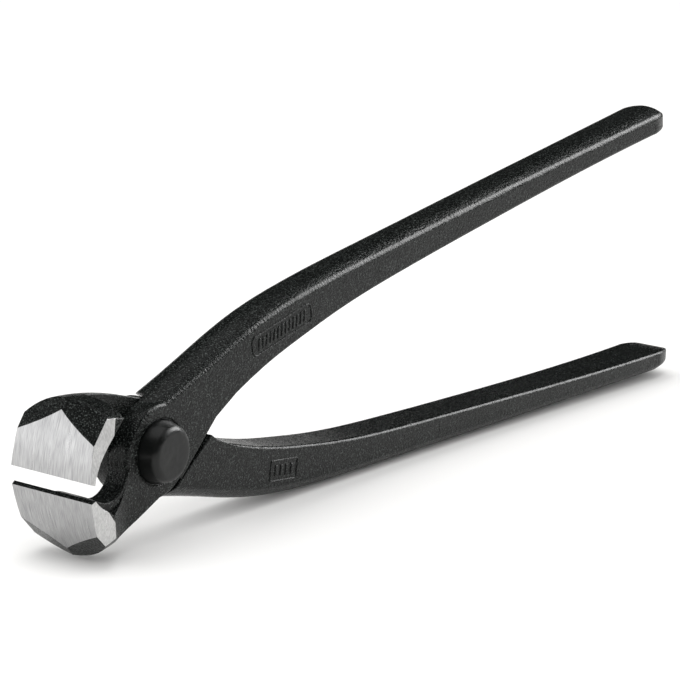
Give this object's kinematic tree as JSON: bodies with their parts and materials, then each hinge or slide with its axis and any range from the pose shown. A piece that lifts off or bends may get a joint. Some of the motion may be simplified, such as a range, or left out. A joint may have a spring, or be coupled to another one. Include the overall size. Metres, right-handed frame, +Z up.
{
  "type": "end-cutting pincers",
  "caption": "Long-handled end-cutting tower pincers: two forged levers crossed in a lap joint on one large rivet, wide ground jaws, plain black handles.",
  "frame": {"origin": "on the ground under the middle of the tool's bounding box, as it stands on edge on its lower handle", "axes": "+X from the jaws towards the handle ends, +Y along the pivot axis away from the rivet's formed head, +Z up"},
  "size_m": [0.2554, 0.0238, 0.0771],
  "materials": {
    "black_forging": "phosphated and oiled forging with a fine blasted grain, jaw faces ground bright",
    "satin_black_rivet": "satin black turned rivet"
  },
  "bodies": {
    "front_lever": {"front_lever": "black_forging", "pivot_rivet": "satin_black_rivet"},
    "rear_lever": {"rear_lever": "black_forging"}
  },
  "joints": [
    {"name": "pivot", "type": "hinge", "parent": "front_lever", "child": "rear_lever", "pos_m": [-0.09764, 0, 0.02122], "axis": [0, 1, 0], "range_deg": [-6.7, 13.2]}
  ]
}
